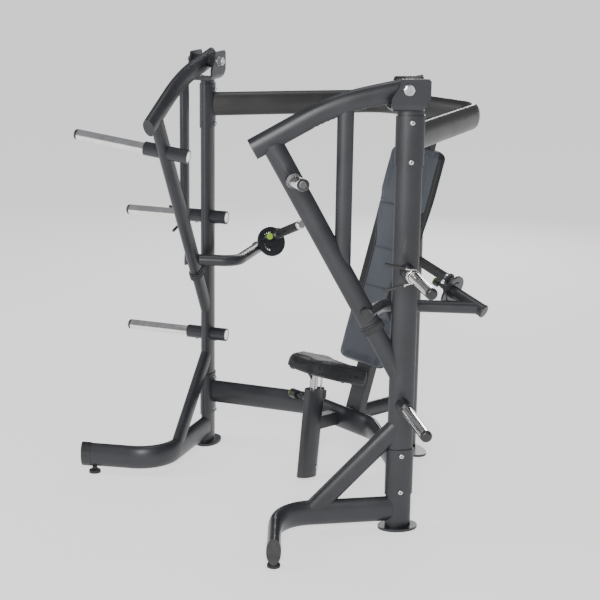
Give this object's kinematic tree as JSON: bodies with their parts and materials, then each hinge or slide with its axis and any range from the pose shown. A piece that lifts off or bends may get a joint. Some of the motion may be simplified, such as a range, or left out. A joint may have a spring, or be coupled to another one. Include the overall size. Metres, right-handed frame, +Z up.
{
  "type": "chest press machine",
  "caption": "Plate-loaded chest press with converging arms, turning handles, tall back pad, adjustable seat and weight storage horns.",
  "frame": {"origin": "on the floor, at the middle of the machine's plan box", "axes": "+Z up, X across the machine with +X on the user's left, the user faces -Y"},
  "size_m": [2.1652, 1.6157, 1.9811],
  "materials": {
    "frame_black": "satin powder coat",
    "chrome": "polished",
    "zinc": "zinc plated",
    "black_plastic": "moulded",
    "rubber": "matte",
    "back_vinyl": "padded vinyl",
    "seat_vinyl": "padded vinyl",
    "board": "stained plywood",
    "knob": "black with a green cap"
  },
  "bodies": {
    "frame": {"uprights": "frame_black", "base_plates": "frame_black", "legs": "frame_black", "leg_caps": "black_plastic", "level_feet": "rubber", "braces": "frame_black", "stop_tubes": "frame_black", "bumpers": "rubber", "upper_frame": "frame_black", "lower_frame": "frame_black", "frame_sleeves": "frame_black", "pivot_brackets": "frame_black", "pivot_bolts": "zinc", "frame_bolts": "zinc", "storage_sleeves": "frame_black", "storage_horns": "chrome", "storage_caps": "black_plastic", "rear_post": "frame_black", "rear_tube": "frame_black", "back_support": "frame_black", "back_board": "board", "back_pad": "back_vinyl", "seat_housing": "frame_black", "housing_plugs": "black_plastic", "housing_bracket": "frame_black", "gas_cylinder": "frame_black"},
    "seat": {"seat_post": "zinc", "seat_plate": "frame_black", "seat_pad": "seat_vinyl", "seat_screws": "zinc", "gas_rod": "zinc"},
    "seat_pin": {"seat_pin": "knob"},
    "arm_left": {"boom_left": "frame_black", "strut_left": "frame_black", "diagonal_left": "frame_black", "horn_sleeve_left": "frame_black", "arm_horn_left": "chrome", "carrier_left": "frame_black", "index_tube_left": "frame_black", "index_disc_left": "frame_black", "arm_caps_left": "black_plastic"},
    "handle_left": {"handle_hub_left": "frame_black", "handle_bar_left": "chrome", "grip_left": "rubber"},
    "handle_pin_left": {"handle_pin_left": "knob"},
    "spring_collar_left": {"spring_collar_left": "chrome"},
    "arm_right": {"boom_right": "frame_black", "strut_right": "frame_black", "diagonal_right": "frame_black", "horn_sleeve_right": "frame_black", "arm_horn_right": "chrome", "carrier_right": "frame_black", "index_tube_right": "frame_black", "index_disc_right": "frame_black", "arm_caps_right": "black_plastic"},
    "handle_right": {"handle_hub_right": "frame_black", "handle_bar_right": "chrome", "grip_right": "rubber"},
    "handle_pin_right": {"handle_pin_right": "knob"},
    "spring_collar_right": {"spring_collar_right": "chrome"}
  },
  "joints": [
    {"name": "seat_height", "type": "slide", "parent": "frame", "child": "seat", "axis": [0, 0.0976, 0.9952], "range_m": [-0.04, 0.14]},
    {"name": "seat_pin_pull", "type": "slide", "parent": "frame", "child": "seat_pin", "axis": [-1, 0, 0], "range_m": [0, 0.012], "stiffness_N_per_m": 400, "springref_m": -0.01},
    {"name": "arm_swing_left", "type": "hinge", "parent": "frame", "child": "arm_left", "pos_m": [0.684, -0.08147, 1.924], "axis": [-0.866, 0.5, 0], "range_deg": [0, 34]},
    {"name": "handle_turn_left", "type": "hinge", "parent": "arm_left", "child": "handle_left", "pos_m": [0.6349, 0.29201, 1.00426], "axis": [-0.911, -0.2002, 0.3604], "range_deg": [-60, 60]},
    {"name": "handle_pin_pull_left", "type": "slide", "parent": "handle_left", "child": "handle_pin_left", "axis": [-0.911, -0.2002, 0.3604], "range_m": [0, 0.012], "stiffness_N_per_m": 400, "springref_m": -0.01},
    {"name": "spring_collar_slide_left", "type": "slide", "parent": "frame", "child": "spring_collar_left", "axis": [0.866, -0.5, 0], "range_m": [0, 0.25]},
    {"name": "arm_swing_right", "type": "hinge", "parent": "frame", "child": "arm_right", "pos_m": [-0.684, -0.08147, 1.924], "axis": [-0.866, -0.5, 0], "range_deg": [0, 34]},
    {"name": "handle_turn_right", "type": "hinge", "parent": "arm_right", "child": "handle_right", "pos_m": [-0.6349, 0.29201, 1.00426], "axis": [-0.911, 0.2002, -0.3604], "range_deg": [-60, 60]},
    {"name": "handle_pin_pull_right", "type": "slide", "parent": "handle_right", "child": "handle_pin_right", "axis": [0.911, -0.2002, 0.3604], "range_m": [0, 0.012], "stiffness_N_per_m": 400, "springref_m": -0.01},
    {"name": "spring_collar_slide_right", "type": "slide", "parent": "frame", "child": "spring_collar_right", "axis": [-0.866, -0.5, 0], "range_m": [0, 0.25]}
  ]
}
